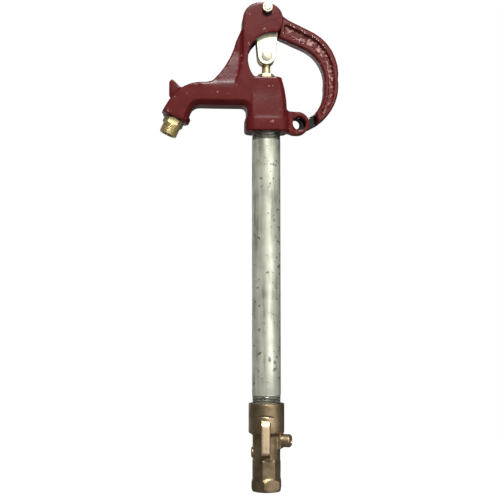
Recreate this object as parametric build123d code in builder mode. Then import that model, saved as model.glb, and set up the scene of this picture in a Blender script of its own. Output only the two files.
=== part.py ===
from build123d import *
import os
from math import asin, cos, radians, sin, sqrt, tan

# Frost-free yard hydrant with a lever handle, millimetres.
# The origin is the centre of the inlet mouth and +Z runs up the standpipe.
# The spout points to -X and the lever hangs on the +X side.

# Standpipe, a galvanised pipe of nominal bore 1 1/4
pipe_od = 42.16
pipe_wall = 3.56
pipe_showing = 398.4
pipe_engagement = 18.0

# Valve body at the foot of the standpipe
body_height = 127.0
socket_radius = 26.2
socket_height = 42.5
socket_round = 2.5
groove_left = -21.0
groove_right = 8.0
groove_drop = 19.8
groove_arch = 2.0
groove_depth = 1.2
groove_width = 2.2
body_radius = 20.4
neck_flats = 39.2
neck_bevel = 10.4
neck_turn = 5.0
neck_height = 45.0
inlet_hex_flats = 41.3
inlet_hex_turn = 17.8
inlet_hex_slope = 55.0
inlet_hex_height = 19.0
inlet_bore = 30.3
inlet_thread_depth = 19.0
chamber_bore = 30.0
waterway_bore = 20.0
seat_ring_height = 6.0
seat_height = 31.0
seat_bore = 17.0
seat_rim_radius = 10.5
seat_rim_height = 1.2
front_bar_width = 13.6
front_bar_x = -3.6
front_bar_reach = 29.5
front_bar_low = 49.2
front_bar_high = 103.2
front_bar_slope = 6.0
front_bar_bevel = 1.6
side_boss_radius = 7.5
side_boss_height = 56.1
side_boss_reach = 22.4
drain_height = 73.1
drain_turn = 18.0
drain_pad_width = 23.5
drain_pad_height = 18.8
drain_pad_reach = 23.5
drain_boss_radius = 9.6
drain_boss_chamfer = 2.4
drain_reach = 37.3
drain_thread_bore = 11.1
drain_thread_depth = 12.0
drain_weep_bore = 4.6

# Head casting
casting_half = 22.5
barrel_half_width = 29.3
barrel_half_depth = 25.0
barrel_bevel = 6.5
collar_proud = 3.1
collar_top_round = 2.2
collar_foot_round = 3.2
collar_front = 0.7
collar_height = 20.3
collar_corner = 14.0
boss_half_width = 22.5
boss_round = 2.5
head_height = 81.3
cavity_radius = 17.5
cavity_roof = 19.0
spout_rise = 56.0
spout_top = 15.6
spout_low = 17.5
spout_bevel = 7.0
spout_round = 2.5
spout_bore = 24.0
tail_outer = 20.0
tail_inner = 19.0
inner_bend = 14.0
armpit_round = 8.0
spout_reach = 102.2
spout_bend = 26.0
spout_angle = 24.5
spout_tail = 23.8
lip_radius = 21.8
lip_taper = 5.5
lip_length = 9.0
outlet_depth = 15.0
fork_gap = 31.0
cheek_thickness = 7.0
cheek_radius = 25.4
cheek_front_x = -1.4
cheek_back_x = -10.7
cheek_drop = 16.0
pivot_rise = 101.2
slot_back_x = -23.0
throat_back_x = -26.5
throat_top_reach = 19.0
throat_top_rise = 61.4
neck_foot_x = -46.0
neck_foot_drop = 16.8
neck_round = 2.0
rib_foot_half = 21.7
rib_top_half = 17.5
rib_taper_rise = 46.0
rib_reach = 94.0
rib_shoulder_rise = 52.6
rib_middle_reach = 13.2
rib_middle_rise = 20.0
rib_toe_reach = 35.0
rib_toe_drop = 7.6
fin_thickness = 14.0
fin_reach = 42.2
fin_rise = 22.9
lug_thickness = 15.7
lug_front = 12.0
lug_reach = 13.6
lug_radius = 17.4
lug_hole_radius = 9.8
lug_hole_shift = 2.6
lug_rise = 13.6
lug_band_width = 5.0
lug_band_proud = 2.0

# Stuffing box and brass packing nut in the top of the head
packing_bore = 19.05
packing_nut_flats = 22.2
packing_nut_height = 7.0
packing_nut_thread = 8.0
packing_ring_height = 2.4
packing_ring_count = 3
ring_gap = 0.04
packing_washer_height = 1.6

# Lever linkage
pivot_bolt_diameter = 9.53
pivot_flats = 14.3
pivot_head_height = 6.0
pivot_nut_height = 8.3
bolt_end_proud = 1.6
sleeve_radius = 6.2
crank_radius = 24.5
link_length = 43.5
lever_opening = 75.0
link_thickness = 4.8
link_gap = 15.0
link_top_radius = 17.0
link_low_radius = 13.2
crank_pin_radius = 5.5
crank_pin_head_radius = 8.0
crank_pin_head_height = 1.9
rivet_radius = 4.4
rivet_head_radius = 9.8
rivet_head_height = 2.7

# Lever handle, an I-section casting with a padlock tab
lever_thickness = 24.0
lever_hub_radius = 10.5
crank_hub_radius = 12.5
lever_neck_radius = 18.2
lever_reach = 107.2
lever_drop = 169.5
lever_rail = 8.8
lever_web = 13.0
lever_round = 4.0
arm_joint_radius = 14.0
tab_thickness = 7.5
tab_eye_inset = 2.5
tab_eye_radius = 10.8
tab_hole_radius = 7.0

# Hose nozzle with a 3/4 garden hose thread
hose_thread_od = 26.9
nozzle_flats = 27.0
nozzle_hex_length = 11.0
nozzle_thread_length = 14.2
nozzle_shank_radius = 13.0
nozzle_bore = 19.0

# Rods and plunger
stem_diameter = 12.7
eye_radius = 13.0
stem_tail = 80.0
coupling_diameter = 17.0
coupling_length = 30.0
rod_diameter = 9.5
plunger_od = 29.85
plunger_bore = 22.0
plunger_height = 31.0
plunger_floor = 5.0
plunger_hub_radius = 7.5
plunger_hub_height = 11.0
plunger_spoke = 4.0
plunger_spokes = 4
seal_radius = 10.5
seal_height = 4.0
seal_washer_radius = 7.5
seal_washer_height = 1.5
seal_screw_radius = 2.5
seal_screw_head_radius = 4.6
seal_screw_head_height = 3.0
seal_screw_grip = 4.5
ring_section = 2.4
ring_inset = 3.6
jam_nut_flats = 17.0
jam_nut_height = 6.0

# Clearances
running = 0.06
side_play = 0.2
slip = 0.3
bolt_clearance = 0.1
open_pivot_clearance = 0.8

# Turned corners of the nuts and hexagons
hexagon_rim = 0.3

# Levels worked out from the sizes above
collar_bottom = body_height + pipe_showing
collar_top = collar_bottom + collar_height
head_top = collar_bottom + head_height
spout_z = collar_bottom + spout_rise
pivot_z = head_top + pivot_rise
crank_pin_z = pivot_z - crank_radius
rivet_z = crank_pin_z - link_length
cheek_z = pivot_z - cheek_drop
cheek_top = cheek_z + cheek_radius
spout_roof = spout_z + spout_top
spout_floor = spout_z - spout_low
neck_foot_z = head_top - neck_foot_drop
lug_z = collar_bottom + lug_rise
lug_x = barrel_half_width + collar_proud + lug_reach
lug_band_x = lug_x - lug_reach + 0.4
tab_eye_x = lug_x - tab_eye_inset

# Faces either side of the middle plane
cheek_inner = fork_gap / 2
cheek_outer = cheek_inner + cheek_thickness
link_inner = link_gap / 2
link_outer = link_inner + link_thickness
hub_face = link_inner - side_play
lever_face = lever_thickness / 2
lug_back = lug_thickness - lug_front

# Spout route: a level run, a bend and a leaning tail
outlet_lean = radians(spout_angle)
bend_turn = radians(90 - spout_angle)
bend_end_x = -spout_reach - spout_bend * sin(bend_turn)
bend_end_z = spout_z - spout_bend * (1 - cos(bend_turn))
outlet_x = bend_end_x - spout_tail * sin(outlet_lean)
outlet_z = bend_end_z - spout_tail * cos(outlet_lean)

# Section plane at the outlet: local x runs across it and local y back up the spout
outlet_section = Plane(
    origin=(outlet_x, 0, outlet_z),
    x_dir=(cos(outlet_lean), 0, -sin(outlet_lean)),
    z_dir=(0, -1, 0),
)
outlet_axis = Axis((outlet_x, 0, outlet_z), (-sin(outlet_lean), 0, -cos(outlet_lean)))
outlet_face = Plane(
    origin=(outlet_x, 0, outlet_z),
    x_dir=(0, 1, 0),
    z_dir=(-sin(outlet_lean), 0, -cos(outlet_lean)),
)
spout_start = Plane(origin=(0, 0, spout_z), x_dir=(0, 1, 0), z_dir=(-1, 0, 0))

# Drain boss axis, turned from +X towards the front
drain_lean = radians(drain_turn)
drain_plane = Plane(
    origin=(0, 0, drain_height),
    x_dir=(sin(drain_lean), cos(drain_lean), 0),
    z_dir=(cos(drain_lean), -sin(drain_lean), 0),
)


def link_lean(opening):
    """Angle of the links from upright, in radians, at this opening of the lever."""
    return asin(crank_radius * sin(opening) / link_length)


def stem_lift(opening):
    """Rise of the stem at this opening of the lever, in radians."""
    drop = crank_radius * cos(opening) + link_length * cos(link_lean(opening))
    return crank_radius + link_length - drop


full_opening = radians(lever_opening)
full_lean = link_lean(full_opening)
full_lift = stem_lift(full_opening)


def eye_offset(share):
    """Place of the rivet in the stem's eye when all three joints have made this share of their travel."""
    opening = full_opening * share
    lean = full_lean * share
    x = crank_radius * sin(opening) - link_length * sin(lean)
    drop = crank_radius * cos(opening) + link_length * cos(lean)
    return x, crank_radius + link_length - drop - full_lift * share


def spout_route():
    """Centre line of the spout from the barrel's axis to the outlet."""
    with BuildLine(Plane.XZ) as route:
        Line((0, spout_z), (-spout_reach, spout_z))
        CenterArc((-spout_reach, spout_z - spout_bend), spout_bend, 90, 90 - spout_angle)
        Line((bend_end_x, bend_end_z), (outlet_x, outlet_z))
    return route.wires()[0]


def outline_edges(part, face, above):
    """Edges of the part in the planes y = +face and y = -face, with their middles above this height."""
    flat = []
    for edge in part.edges():
        box = edge.bounding_box()
        in_face = abs(abs(box.min.Y) - face) < 0.01 and abs(box.max.Y - box.min.Y) < 0.01
        if in_face and (box.min.Z + box.max.Z) / 2 > above:
            flat.append(edge)
    return flat


def barrel_slab(plane, foot, waist, top, top_low):
    """Slab with the barrel's outline: half widths at its foot, at its waist and from top_low upwards."""
    corner = boss_round * (1 - cos(radians(45)))
    with BuildPart() as slab:
        with BuildSketch(plane):
            with BuildLine():
                Polyline((0, collar_bottom), (foot, collar_bottom), (foot, collar_top + 3))
                ThreePointArc((foot, collar_top + 3), (waist, collar_top + 20), (top, top_low))
                Line((top, top_low), (top, head_top - boss_round))
                ThreePointArc(
                    (top, head_top - boss_round),
                    (top - corner, head_top - corner),
                    (top - boss_round, head_top),
                )
                Polyline((top - boss_round, head_top), (0, head_top), (0, collar_bottom))
            make_face()
            mirror(about=Plane.YZ)
        extrude(amount=2 * barrel_half_width, both=True)
    return slab.part


# Barrel of the head, flat in front and behind, with its upright corners bevelled
front_waist = barrel_half_width - 0.1
side_waist = barrel_half_depth - 1.0
front_slab = barrel_slab(Plane.XZ, barrel_half_width, front_waist, boss_half_width, head_top - boss_round - 1)
side_slab = barrel_slab(Plane.YZ, barrel_half_depth, side_waist, casting_half, spout_z + 4)
bevel_foot = (barrel_half_width + barrel_half_depth - barrel_bevel) / sqrt(2)
bevel_waist = (front_waist + side_waist - barrel_bevel) / sqrt(2)
bevel_top = (boss_half_width + casting_half - barrel_bevel) / sqrt(2)
with BuildPart() as barrel:
    add(front_slab)
    add(side_slab, mode=Mode.INTERSECT)
    for turn in (45, -45):
        bevel_slab = barrel_slab(Plane.XZ, bevel_foot, bevel_waist, bevel_top, head_top - boss_round - 1)
        add(bevel_slab.rotate(Axis.Z, turn), mode=Mode.INTERSECT)

# Collar round the foot of the barrel
collar_half_width = barrel_half_width + collar_proud
collar_half_depth = barrel_half_depth + collar_front
with BuildPart() as collar:
    with BuildSketch(Plane.XY.offset(collar_bottom)):
        RectangleRounded(2 * collar_half_width, 2 * collar_half_depth, collar_corner)
    extrude(amount=collar_height)
    fillet(collar.faces().sort_by(Axis.Z)[-1].edges(), collar_top_round)
    fillet(collar.faces().sort_by(Axis.Z)[0].edges(), collar_foot_round)

# Spout and the front of the barrel, flat in front and behind, bevelled underneath
outer_end = (outlet_x - tail_outer * cos(outlet_lean), outlet_z + tail_outer * sin(outlet_lean))
inner_end = (outlet_x + tail_inner * cos(outlet_lean), outlet_z - tail_inner * sin(outlet_lean))
bend_top = (-spout_reach + 6.4, spout_roof)
bend_low = (-spout_reach - 40.2, spout_z - 8.9)
slab_low = collar_top + 2
with BuildPart() as spout:
    with BuildSketch(Plane.XZ):
        with BuildLine():
            FilletPolyline(
                inner_end,
                (-spout_reach - 7.1, spout_floor),
                (-barrel_half_width, spout_floor),
                (-barrel_half_width, slab_low),
                radius=[inner_bend, armpit_round],
            )
            Polyline((-barrel_half_width, slab_low), (0, slab_low), (0, spout_roof), bend_top)
            bend = TangentArc(bend_top, bend_low, tangent=(-1, 0))
            TangentArc(bend_low, outer_end, tangent=bend % 1)
            Line(outer_end, inner_end)
        make_face()
    extrude(amount=casting_half, both=True)
    under = []
    over = []
    for edge in outline_edges(spout.part, casting_half, slab_low + 0.5):
        middle = edge @ 0.5
        below_roof = middle.Z < spout_z - spout_low / 2
        if below_roof and outlet_x + tail_inner / 2 < middle.X < -barrel_half_width / 2:
            under.append(edge)
        if middle.Z > spout_z + spout_top / 4 or middle.X < outlet_x - tail_outer / 2:
            over.append(edge)
    fillet(over, spout_round)
    chamfer(under, spout_bevel)

# Rib between the neck and the spout, thinner towards its top
rib_back_x = cheek_back_x - cheek_radius + 2
with BuildPart() as rib:
    with BuildSketch(Plane.XZ):
        with BuildLine():
            rib_shoulder = (neck_foot_x, head_top + rib_shoulder_rise)
            rib_toe = (neck_foot_x - rib_toe_reach, head_top - rib_toe_drop)
            Line((rib_back_x, cheek_z - 6), rib_shoulder)
            ThreePointArc(rib_shoulder, (neck_foot_x - rib_middle_reach, head_top + rib_middle_rise), rib_toe)
            Polyline(
                rib_toe,
                (-rib_reach, spout_roof - 0.8),
                (-rib_reach + 6, spout_z),
                (rib_back_x, spout_z),
                (rib_back_x, cheek_z - 6),
            )
        make_face()
    extrude(amount=rib_foot_half, both=True)
    with BuildSketch(Plane.YZ.offset(-rib_reach - 1)):
        with BuildLine():
            Polyline(
                (rib_foot_half + 1, spout_z - 1),
                (rib_foot_half, spout_z - 1),
                (rib_foot_half, spout_roof - 1),
                (rib_top_half, spout_roof + rib_taper_rise),
                (rib_top_half, cheek_top),
                (rib_foot_half + 1, cheek_top),
                close=True,
            )
        make_face()
        mirror(about=Plane.YZ)
    extrude(amount=rib_reach + 2, mode=Mode.SUBTRACT)

# Head casting: forked neck, barrel, collar, spout, rib, hook fin and padlock lug
with BuildPart() as head_casting:
    # Forked neck, first a solid slab
    nose_end = (
        cheek_front_x + cheek_radius * cos(radians(50)),
        cheek_z - cheek_radius * sin(radians(50)),
    )
    throat_shoulder = (throat_back_x, head_top + 38.2)
    throat_foot = (throat_back_x + 8.0, head_top - 1.3)
    with BuildSketch(Plane.XZ):
        with BuildLine():
            Line((cheek_back_x, cheek_top), (cheek_front_x, cheek_top))
            ThreePointArc(
                (cheek_front_x, cheek_top),
                (cheek_front_x + cheek_radius * cos(radians(15)), cheek_z + cheek_radius * sin(radians(15))),
                nose_end,
            )
            throat_middle = (throat_back_x + throat_top_reach, head_top + throat_top_rise)
            throat = ThreePointArc(nose_end, throat_middle, throat_shoulder)
            TangentArc(throat_shoulder, throat_foot, tangent=throat % 1)
            Polyline(
                throat_foot,
                (0, head_top - 3),
                (0, neck_foot_z),
                (neck_foot_x, neck_foot_z),
                (neck_foot_x, head_top - 7.8),
            )
            ThreePointArc(
                (neck_foot_x, head_top - 7.8),
                (neck_foot_x + 7.0, head_top + 15.2),
                (cheek_back_x - cheek_radius, head_top + 45.2),
            )
            Line((cheek_back_x - cheek_radius, head_top + 45.2), (cheek_back_x - cheek_radius, cheek_z))
            ThreePointArc(
                (cheek_back_x - cheek_radius, cheek_z),
                (cheek_back_x - cheek_radius * cos(radians(45)), cheek_z + cheek_radius * sin(radians(45))),
                (cheek_back_x, cheek_top),
            )
        make_face()
    extrude(amount=cheek_outer, both=True)
    fillet(outline_edges(head_casting.part, cheek_outer, head_top + 5), neck_round)

    # Slot that makes the two cheeks of the fork
    slot_top = cheek_top + 5
    slot_foot = head_top + 35
    slot_front = cheek_front_x + cheek_radius + 20
    with BuildSketch(Plane.XZ):
        with BuildLine():
            Polyline(
                (slot_back_x, slot_foot),
                (slot_front, slot_foot),
                (slot_front, slot_top),
                (slot_back_x, slot_top),
                close=True,
            )
        make_face()
    extrude(amount=cheek_inner, both=True, mode=Mode.SUBTRACT)

    # Barrel, collar, spout and rib, then the round lip at the outlet
    add(barrel.part)
    add(collar.part)
    add(spout.part)
    add(rib.part)
    with BuildSketch(outlet_section):
        with BuildLine():
            FilletPolyline(
                (0, 0),
                (lip_radius, 0),
                (lip_radius, lip_length),
                (lip_radius - lip_taper, lip_length + 2),
                (0, lip_length + 2),
                radius=[1.2, 1.2, 0.8],
            )
            Line((0, lip_length + 2), (0, 0))
        make_face()
    revolve(axis=outlet_axis)

    # Hook fin on the bend of the spout
    with BuildSketch(Plane.XZ):
        with BuildLine():
            FilletPolyline(
                (-spout_reach - 40.0, spout_z - 4.6),
                (-spout_reach - fin_reach, spout_z - 2.0),
                (-spout_reach - fin_reach, spout_z + fin_rise - 4.6),
                (-spout_reach - fin_reach + 4.6, spout_z + fin_rise),
                (-spout_reach - 25.3, spout_z + 10.5),
                (-spout_reach - 12.0, spout_z + 8.0),
                radius=[1.0, 2.0, 2.0, 3.0],
            )
            Polyline(
                (-spout_reach - 12.0, spout_z + 8.0),
                (-spout_reach - 26.0, spout_z - 14.0),
                (-spout_reach - 40.0, spout_z - 4.6),
            )
        make_face()
    extrude(amount=fin_thickness / 2, both=True)

    # Padlock lug on the front half of the collar
    with BuildSketch(Plane.XZ.offset(-lug_back)):
        with BuildLine():
            ThreePointArc(
                (lug_x, lug_z + lug_radius),
                (lug_x + lug_radius, lug_z),
                (lug_x, lug_z - lug_radius),
            )
            Polyline(
                (lug_x, lug_z - lug_radius),
                (lug_band_x + 6.0, lug_z - lug_radius),
                (lug_band_x, lug_z - lug_radius + 2.4),
                (barrel_half_width - 6, collar_bottom + 1.5),
                (barrel_half_width - 6, lug_z + lug_radius),
                (lug_x, lug_z + lug_radius),
            )
        make_face()
    extrude(amount=lug_thickness)
    with BuildSketch(Plane.XZ.offset(lug_front)):
        with BuildLine():
            Polyline(
                (lug_band_x, lug_z - lug_radius + 2.4),
                (lug_band_x + lug_band_width, lug_z - lug_radius),
                (lug_band_x + lug_band_width, lug_z + lug_radius),
                (lug_band_x, lug_z + lug_radius),
                close=True,
            )
        make_face()
    extrude(amount=lug_band_proud)
    with BuildSketch(Plane.XZ.offset(-lug_back)):
        with Locations((lug_x + lug_hole_shift, lug_z)):
            Circle(lug_hole_radius)
    extrude(amount=lug_thickness + lug_band_proud, mode=Mode.SUBTRACT)

    # Waterway: pipe socket, cavity and spout bore
    with BuildSketch(Plane.XY.offset(collar_bottom)):
        Circle(pipe_od / 2)
    extrude(amount=pipe_engagement, mode=Mode.SUBTRACT)
    with BuildSketch(Plane.XY.offset(collar_bottom)):
        Circle(cavity_radius)
    extrude(amount=head_height - cavity_roof, mode=Mode.SUBTRACT)
    with BuildSketch(spout_start):
        Circle(spout_bore / 2)
    sweep(path=spout_route(), mode=Mode.SUBTRACT)
    with BuildSketch(outlet_face):
        Circle(nozzle_shank_radius)
    extrude(amount=-outlet_depth, mode=Mode.SUBTRACT)

    # Stuffing box, stem hole and pivot holes
    packing_depth = packing_nut_thread + packing_ring_height * packing_ring_count + packing_washer_height
    with BuildSketch(Plane.XY.offset(head_top)):
        Circle(packing_bore / 2)
    extrude(amount=-packing_depth, mode=Mode.SUBTRACT)
    with BuildSketch(Plane.XY.offset(head_top)):
        Circle(stem_diameter / 2 + slip)
    extrude(amount=-cavity_roof - 1, mode=Mode.SUBTRACT)
    with BuildSketch(Plane.XZ):
        with Locations((0, pivot_z)):
            Circle(pivot_bolt_diameter / 2 + bolt_clearance)
    extrude(amount=cheek_outer + 1, both=True, mode=Mode.SUBTRACT)
head_casting.part.label = "head_casting"


# Standpipe, tapped into the valve body and the head
pipe_low = body_height - pipe_engagement
with BuildPart() as standpipe:
    with BuildSketch(Plane.XY.offset(pipe_low)):
        Circle(pipe_od / 2)
        Circle(pipe_od / 2 - pipe_wall, mode=Mode.SUBTRACT)
    extrude(amount=pipe_showing + 2 * pipe_engagement)
standpipe.part.label = "standpipe"


def hexagon_blank(base, flats, height, turn=0, slope=30):
    """Hexagonal prism that stands on this plane, with its corners turned off at both ends at this slope."""
    corner = flats / 2 / cos(radians(30))
    rim = flats / 2 - hexagon_rim
    turned = (corner - rim) * tan(radians(slope))
    across = Plane(origin=base.origin, x_dir=base.x_dir, z_dir=base.x_dir.cross(base.z_dir))
    with BuildPart() as blank:
        with BuildSketch(base):
            RegularPolygon(flats / 2, 6, major_radius=False, rotation=turn)
        extrude(amount=height)
        with BuildSketch(across):
            with BuildLine():
                Polyline(
                    (0, 0),
                    (rim, 0),
                    (corner, turned),
                    (corner, height - turned),
                    (rim, height),
                    (0, height),
                    close=True,
                )
            make_face()
        revolve(axis=Axis(base.origin, base.z_dir), mode=Mode.INTERSECT)
    return blank.part


# Arched groove over the front bar of the valve body
socket_low = body_height - socket_height
groove_z = body_height - groove_drop
with BuildPart() as groove:
    with BuildSketch(Plane.XZ):
        with BuildLine():
            arch = ThreePointArc(
                (groove_left, groove_z),
                ((groove_left + groove_right) / 2, groove_z + groove_arch),
                (groove_right, groove_z),
            )
        trace(arch, groove_width)
    extrude(amount=socket_radius + 1)
    with BuildSketch(Plane.XY.offset(socket_low)):
        Circle(socket_radius + 1)
        Circle(socket_radius - groove_depth, mode=Mode.SUBTRACT)
    extrude(amount=socket_height, mode=Mode.INTERSECT)

# Valve body: inlet hexagon, eight-sided neck, chamber, pipe socket and side bosses
inlet_hexagon = hexagon_blank(Plane.XY, inlet_hex_flats, inlet_hex_height, inlet_hex_turn, inlet_hex_slope)
with BuildPart() as valve_body:
    add(inlet_hexagon)
    with BuildSketch(Plane.XY.offset(inlet_hex_height)):
        Rectangle(neck_flats, neck_flats, rotation=neck_turn)
        chamfer(vertices(), neck_bevel)
    extrude(amount=neck_height - inlet_hex_height)
    with BuildSketch(Plane.XZ):
        with BuildLine():
            FilletPolyline(
                (0, neck_height),
                (body_radius, neck_height),
                (body_radius, socket_low - 3.5),
                (socket_radius, socket_low),
                (socket_radius, body_height),
                (0, body_height),
                radius=[1.0, 1.5, socket_round, 1.2],
            )
            Line((0, body_height), (0, neck_height))
        make_face()
    revolve(axis=Axis.Z)
    add(groove.part, mode=Mode.SUBTRACT)

    # Upright bar with sloping ends on the front, and round boss on the side
    bar_back = -chamber_bore / 2 - 1
    with BuildSketch(Plane.YZ.offset(front_bar_x)):
        with BuildLine():
            Polyline(
                (bar_back, front_bar_low),
                (-body_radius, front_bar_low),
                (-front_bar_reach, front_bar_low + front_bar_slope),
                (-front_bar_reach, front_bar_high - front_bar_slope),
                (-socket_radius + 1, front_bar_high),
                (bar_back, front_bar_high),
                close=True,
            )
        make_face()
    extrude(amount=front_bar_width / 2, both=True)
    chamfer(valve_body.faces().sort_by(Axis.Y)[0].edges(), front_bar_bevel)
    with BuildSketch(Plane.YZ.offset(-side_boss_reach)):
        with Locations((0, side_boss_height)):
            Circle(side_boss_radius)
    extrude(amount=side_boss_reach - chamber_bore / 2 - 1)

    # Drain boss on a square pad
    with BuildSketch(drain_plane.offset(chamber_bore / 2 + 1)):
        Rectangle(drain_pad_height, drain_pad_width)
    extrude(amount=drain_pad_reach - chamber_bore / 2 - 1)
    with BuildSketch(drain_plane.offset(chamber_bore / 2 + 1)):
        Circle(drain_boss_radius)
    extrude(amount=drain_reach - chamber_bore / 2 - 1)
    chamfer(valve_body.faces().sort_by(Axis((0, 0, 0), drain_plane.z_dir))[-1].edges(), drain_boss_chamfer)

    # Inlet, waterway, chamber and pipe socket
    with BuildSketch():
        Circle(inlet_bore / 2)
    extrude(amount=inlet_thread_depth, mode=Mode.SUBTRACT)
    with BuildSketch():
        Circle(waterway_bore / 2)
    extrude(amount=body_height, mode=Mode.SUBTRACT)
    with BuildSketch(Plane.XY.offset(seat_height - seat_ring_height)):
        Circle(chamber_bore / 2)
    extrude(amount=body_height, mode=Mode.SUBTRACT)
    with BuildSketch(Plane.XY.offset(pipe_low)):
        Circle(pipe_od / 2)
    extrude(amount=pipe_engagement, mode=Mode.SUBTRACT)

    # Drain thread and weep hole
    with BuildSketch(drain_plane.offset(drain_reach)):
        Circle(drain_thread_bore / 2)
    extrude(amount=-drain_thread_depth, mode=Mode.SUBTRACT)
    with BuildSketch(drain_plane):
        Circle(drain_weep_bore / 2)
    extrude(amount=drain_reach, mode=Mode.SUBTRACT)
valve_body.part.label = "valve_body"

# Valve seat, a ring with a raised rim
with BuildPart() as valve_seat:
    with BuildSketch(Plane.XZ):
        with BuildLine():
            Polyline(
                (seat_bore / 2, seat_height - seat_ring_height),
                (chamber_bore / 2, seat_height - seat_ring_height),
                (chamber_bore / 2, seat_height - seat_rim_height),
                (seat_rim_radius + 0.6, seat_height - seat_rim_height),
                (seat_rim_radius, seat_height),
                (seat_bore / 2, seat_height),
                close=True,
            )
        make_face()
    revolve(axis=Axis.Z)
valve_seat.part.label = "valve_seat"

# Plunger: a hollow piston with a spoked foot
plunger_low = seat_height + seal_height
with BuildPart() as plunger_body:
    with BuildSketch(Plane.XY.offset(plunger_low)):
        Circle(plunger_od / 2)
        Circle(plunger_bore / 2, mode=Mode.SUBTRACT)
    extrude(amount=plunger_height)
    with BuildSketch(Plane.XY.offset(plunger_low)):
        with PolarLocations(0, plunger_spokes):
            with Locations((plunger_bore / 4, 0)):
                Rectangle(plunger_bore / 2 + 1, plunger_spoke)
    extrude(amount=plunger_floor)
    with BuildSketch(Plane.XY.offset(plunger_low)):
        Circle(plunger_hub_radius)
    extrude(amount=plunger_hub_height)
    with BuildSketch(Plane.XY.offset(plunger_low)):
        Circle(seal_screw_radius)
    extrude(amount=seal_screw_grip, mode=Mode.SUBTRACT)
    with BuildSketch(Plane.XY.offset(plunger_low + plunger_floor)):
        Circle(rod_diameter / 2)
    extrude(amount=plunger_hub_height, mode=Mode.SUBTRACT)
    ring_planes = [plunger_low + ring_inset, plunger_low + plunger_height - ring_inset]
    ring_outer = chamber_bore / 2 - running
    for level in ring_planes:
        with BuildSketch(Plane.XY.offset(level - ring_section / 2)):
            Circle(plunger_od / 2 + 1)
            Circle(ring_outer - ring_section, mode=Mode.SUBTRACT)
        extrude(amount=ring_section, mode=Mode.SUBTRACT)
plunger_body.part.label = "plunger_body"

# Sealing rings in the plunger's grooves
with BuildPart() as plunger_rings:
    with BuildSketch(Plane.XZ):
        for level in ring_planes:
            with Locations((ring_outer - ring_section / 2, level)):
                Circle(ring_section / 2)
    revolve(axis=Axis.Z)
plunger_rings.part.label = "plunger_rings"

# Rubber seal under the plunger, its washer and its screw
with BuildPart() as plunger_seal:
    with BuildSketch(Plane.XY.offset(seat_height)):
        Circle(seal_radius)
        Circle(seal_screw_radius, mode=Mode.SUBTRACT)
    extrude(amount=seal_height)
plunger_seal.part.label = "plunger_seal"

with BuildPart() as seal_washer:
    with BuildSketch(Plane.XY.offset(seat_height - seal_washer_height)):
        Circle(seal_washer_radius)
        Circle(seal_screw_radius, mode=Mode.SUBTRACT)
    extrude(amount=seal_washer_height)
seal_washer.part.label = "seal_washer"

screw_face = seat_height - seal_washer_height
with BuildPart() as seal_screw:
    with BuildSketch(Plane.XY.offset(screw_face - seal_screw_head_height)):
        RegularPolygon(seal_screw_head_radius, 6)
    extrude(amount=seal_screw_head_height)
    with BuildSketch(Plane.XY.offset(screw_face)):
        Circle(seal_screw_radius)
    extrude(amount=seal_washer_height + seal_height + seal_screw_grip)
seal_screw.part.label = "seal_screw"

# Operating rod, its jam nut and the coupling to the stem
stem_foot = rivet_z - stem_tail
coupling_low = stem_foot - coupling_length
rod_low = plunger_low + plunger_floor
rod_high = stem_foot - coupling_length / 2
with BuildPart() as operating_rod:
    with BuildSketch(Plane.XY.offset(rod_low)):
        Circle(rod_diameter / 2)
    extrude(amount=rod_high - rod_low)
operating_rod.part.label = "operating_rod"

jam_blank = hexagon_blank(
    Plane.XY.offset(plunger_low + plunger_hub_height),
    jam_nut_flats,
    jam_nut_height,
)
with BuildPart() as jam_nut:
    add(jam_blank)
    with BuildSketch(Plane.XY.offset(plunger_low + plunger_hub_height)):
        Circle(rod_diameter / 2)
    extrude(amount=jam_nut_height, mode=Mode.SUBTRACT)
jam_nut.part.label = "jam_nut"

with BuildPart() as rod_coupling:
    with BuildSketch(Plane.XY.offset(coupling_low)):
        Circle(coupling_diameter / 2)
        Circle(rod_diameter / 2, mode=Mode.SUBTRACT)
    extrude(amount=coupling_length)
rod_coupling.part.label = "rod_coupling"

# Brass stem with the eye that the links lift
with BuildPart() as upper_rod:
    with BuildSketch(Plane.XY.offset(rod_high)):
        Circle(rod_diameter / 2)
    extrude(amount=coupling_length / 2)
    with BuildSketch(Plane.XY.offset(stem_foot)):
        Circle(stem_diameter / 2)
    extrude(amount=stem_tail - eye_radius / 2)
    with BuildSketch(Plane.XZ):
        with Locations((0, rivet_z)):
            Circle(eye_radius)
    extrude(amount=hub_face, both=True)
    slot_end = eye_offset(0.5)
    with BuildSketch(Plane.XZ):
        with Locations((0, rivet_z), (slot_end[0], rivet_z + slot_end[1])):
            Circle(rivet_radius + open_pivot_clearance)
        make_hull()
    extrude(amount=hub_face, both=True, mode=Mode.SUBTRACT)
upper_rod.part.label = "upper_rod"

# Stuffing box: washer, packing rings and brass nut
washer_low = head_top - packing_depth
with BuildPart() as packing_washer:
    with BuildSketch(Plane.XY.offset(washer_low)):
        Circle(packing_bore / 2)
        Circle(stem_diameter / 2 + running, mode=Mode.SUBTRACT)
    extrude(amount=packing_washer_height)
packing_washer.part.label = "packing_washer"

with BuildPart() as packing_rings:
    for turn in range(packing_ring_count):
        ring_low = washer_low + packing_washer_height + turn * packing_ring_height
        with BuildSketch(Plane.XY.offset(ring_low)):
            Circle(packing_bore / 2)
            Circle(stem_diameter / 2 + running, mode=Mode.SUBTRACT)
        extrude(amount=packing_ring_height - ring_gap)
packing_rings.part.label = "packing_rings"

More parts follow.
